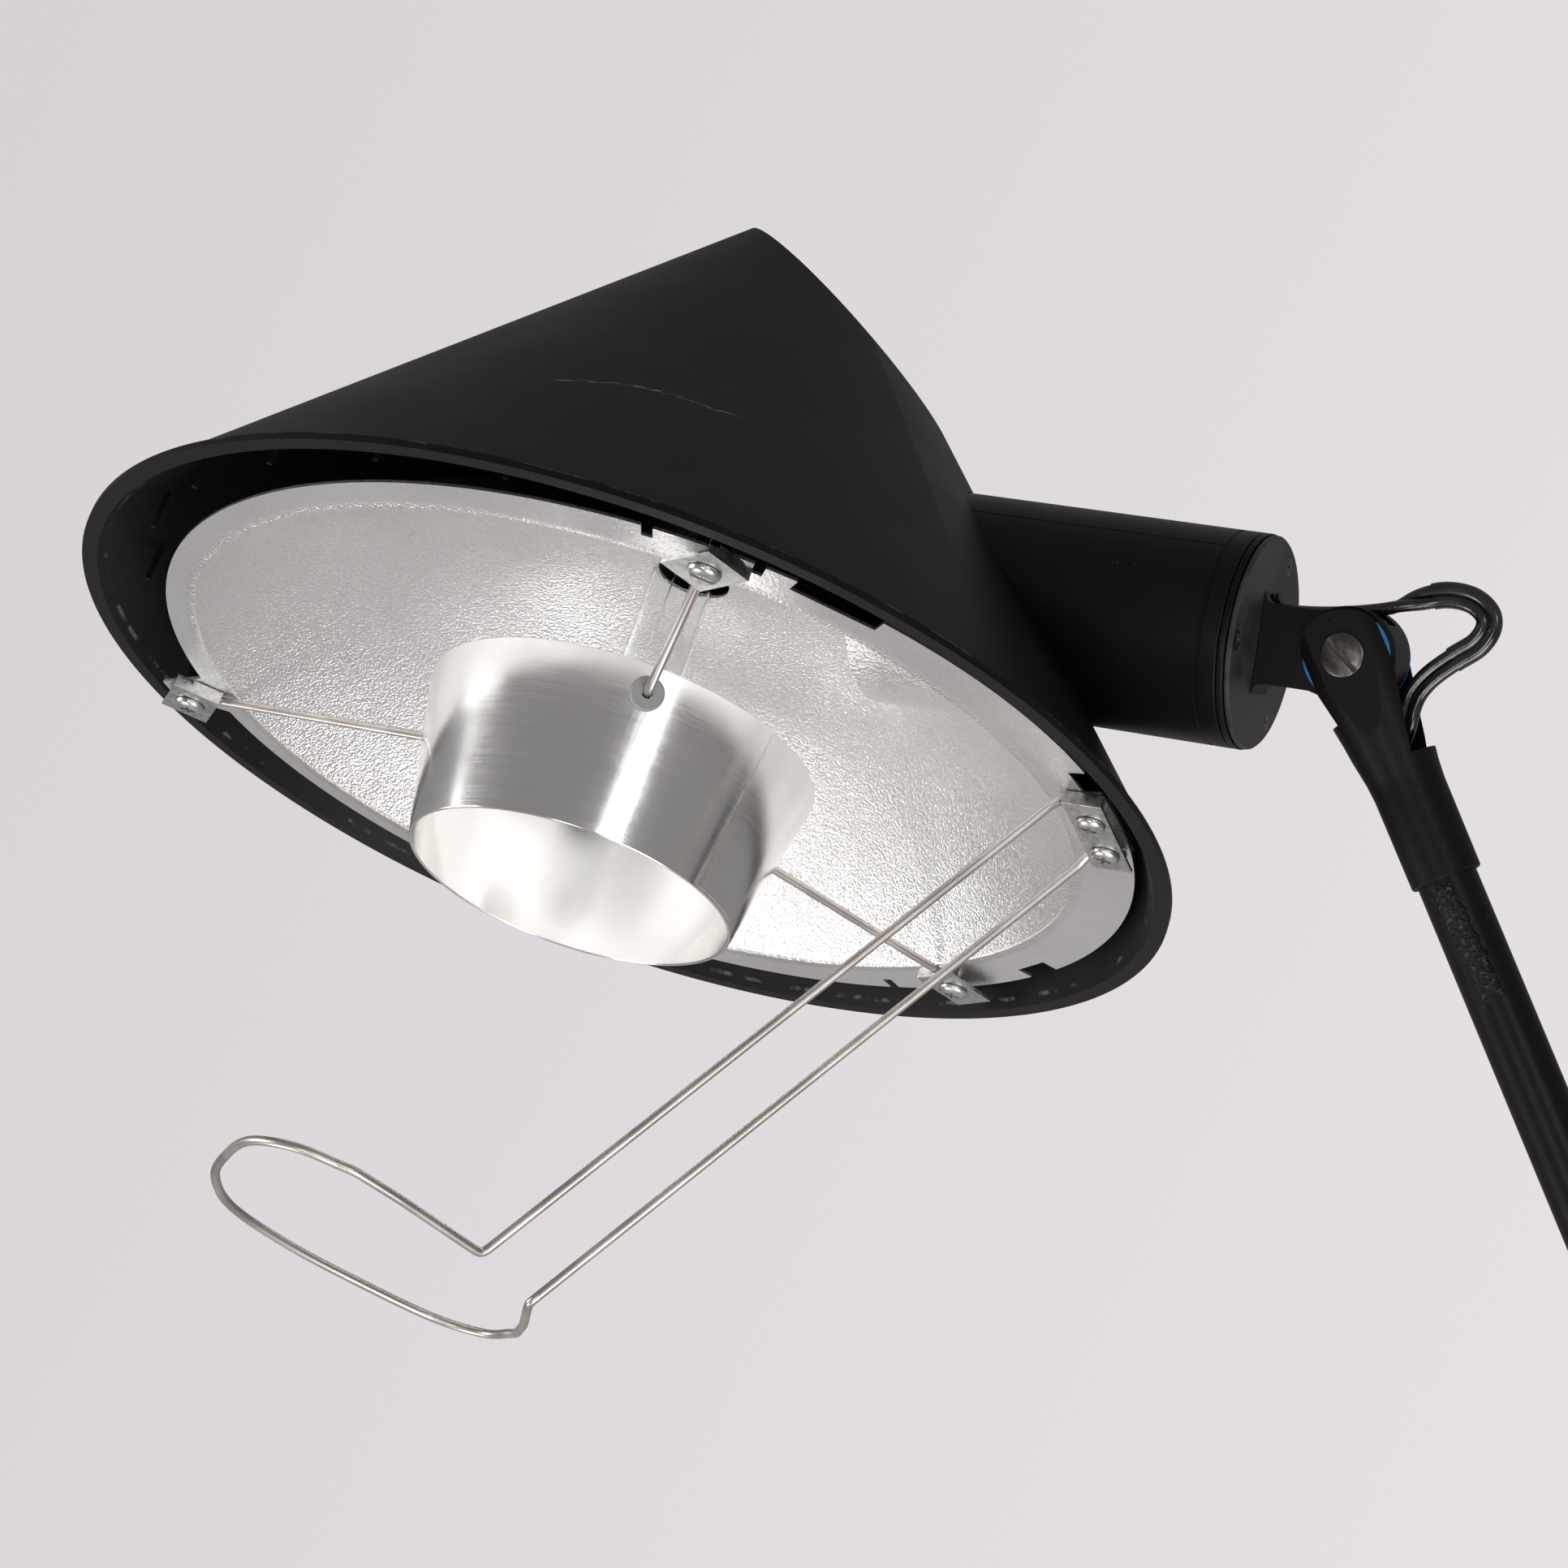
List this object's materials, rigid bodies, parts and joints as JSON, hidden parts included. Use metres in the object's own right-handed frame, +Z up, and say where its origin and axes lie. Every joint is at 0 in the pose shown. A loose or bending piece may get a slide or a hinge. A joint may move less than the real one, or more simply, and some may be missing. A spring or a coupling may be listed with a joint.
{
  "type": "tripod floor lamp",
  "caption": "Floor lamp: cone shade with reflector, anti-glare ring and wire handle on a friction knuckle, leaning arm, telescopic stem and folding tripod.",
  "frame": {"origin": "on the floor, under the middle of the lamp's outer box", "axes": "+Z up, the arm and the head lean towards -X, the pivots run along Y"},
  "size_m": [0.7372, 0.5444, 1.4638],
  "materials": {
    "satin_black": "satin black paint, slightly worn",
    "shade_black": "fine satin black moulding with scuffs",
    "cast_black": "matt black casting with a fine grain",
    "knob_black": "moulded black",
    "rubber_black": "matt rubber",
    "cable_black": "glossy sleeve",
    "cap_grey": "dark grey anodised, dusty",
    "hammered_aluminium": "satin, finely hammered",
    "polished_aluminium": "polished, with fine polishing lines",
    "zinc_plate": "zinc plated",
    "spring_wire": "drawn wire with a bronze tint",
    "dark_steel": "dark steel",
    "washer_blue": "smooth blue",
    "grommet_grey": "grey rubber",
    "porcelain": "glazed cream",
    "cap_brass": "nickel coloured thread",
    "bulb_glass": "frosted"
  },
  "bodies": {
    "stand": {"tripod_hub": "cast_black", "stem_tube": "satin_black", "stem_plug": "rubber_black", "cable_gland": "rubber_black", "clamp_collar": "cast_black", "leg_bolt_1": "dark_steel", "leg_bolt_2": "dark_steel", "leg_bolt_3": "dark_steel"},
    "leg_one": {"leg_1": "satin_black", "foot_1": "rubber_black"},
    "leg_two": {"leg_2": "satin_black", "foot_2": "rubber_black"},
    "leg_three": {"leg_3": "satin_black", "foot_3": "rubber_black"},
    "height_knob": {"clamp_knob": "knob_black"},
    "mast": {"mast_tube": "satin_black", "mast_bush": "rubber_black"},
    "elbow": {"elbow_fork": "cast_black", "elbow_nut": "dark_steel", "elbow_washer_near": "washer_blue", "elbow_washer_far": "washer_blue"},
    "arm_knob": {"elbow_knob": "knob_black"},
    "arm": {"elbow_tongue": "cast_black", "arm_tube": "satin_black", "knuckle_fork": "cast_black", "friction_washer_near": "washer_blue", "friction_washer_far": "washer_blue", "pivot_screw": "dark_steel", "pivot_nut": "dark_steel", "cable_loop": "cable_black"},
    "knuckle": {"knuckle_tongue": "cast_black", "swivel_band": "shade_black", "end_cap": "cap_grey", "cap_screw_1": "dark_steel", "cap_screw_2": "dark_steel", "cap_screw_3": "dark_steel"},
    "head": {"housing": "shade_black", "shade": "shade_black", "reflector": "hammered_aluminium", "glare_ring": "polished_aluminium", "grommet_a": "grommet_grey", "grommet_b": "grommet_grey", "grommet_c": "grommet_grey", "spoke_a": "spring_wire", "spoke_b": "spring_wire", "spoke_c": "spring_wire", "clip_a": "zinc_plate", "clip_b": "zinc_plate", "clip_c": "zinc_plate", "clip_screw_a": "zinc_plate", "clip_screw_b": "zinc_plate", "clip_screw_c": "zinc_plate", "handle_bracket": "zinc_plate", "handle_screw_1": "zinc_plate", "handle_screw_2": "zinc_plate", "handle_wire": "spring_wire", "lampholder": "porcelain", "bulb_cap": "cap_brass", "bulb_glass": "bulb_glass"}
  },
  "joints": [
    {"name": "leg_1_fold", "type": "hinge", "parent": "stand", "child": "leg_one", "pos_m": [0.17081, 0, 0.336], "axis": [0, -1, 0], "range_deg": [0, 39]},
    {"name": "leg_2_fold", "type": "hinge", "parent": "stand", "child": "leg_two", "pos_m": [0.22481, 0.03118, 0.336], "axis": [-0.866, 0.5, 0], "range_deg": [0, 39]},
    {"name": "leg_3_fold", "type": "hinge", "parent": "stand", "child": "leg_three", "pos_m": [0.22481, -0.03118, 0.336], "axis": [0.866, 0.5, 0], "range_deg": [0, 39]},
    {"name": "height_knob_turn", "type": "hinge", "parent": "stand", "child": "height_knob", "pos_m": [0.20681, 0, 0.617], "axis": [1, 0, 0], "range_deg": [-180, 180]},
    {"name": "stem_height", "type": "slide", "parent": "stand", "child": "mast", "axis": [0, 0, 1], "range_m": [-0.12, 0.1]},
    {"name": "mast_swivel", "type": "hinge", "parent": "mast", "child": "elbow", "pos_m": [0.20681, 0, 0.82], "axis": [0, 0, 1], "range_deg": [-170, 170]},
    {"name": "arm_knob_turn", "type": "hinge", "parent": "elbow", "child": "arm_knob", "pos_m": [0.20681, 0, 0.82], "axis": [0, 1, 0], "range_deg": [-180, 180]},
    {"name": "arm_tilt", "type": "hinge", "parent": "elbow", "child": "arm", "pos_m": [0.20681, 0, 0.82], "axis": [0, 1, 0], "range_deg": [-37, 33]},
    {"name": "head_tilt", "type": "hinge", "parent": "arm", "child": "knuckle", "pos_m": [-0.01236, 0, 1.33533], "axis": [0, 1, 0], "range_deg": [-45, 60], "deforming": ["cable_loop"]},
    {"name": "head_swivel", "type": "hinge", "parent": "knuckle", "child": "head", "pos_m": [-0.01236, 0, 1.33533], "axis": [0.9879, 0, -0.1552], "range_deg": [-60, 115]}
  ]
}
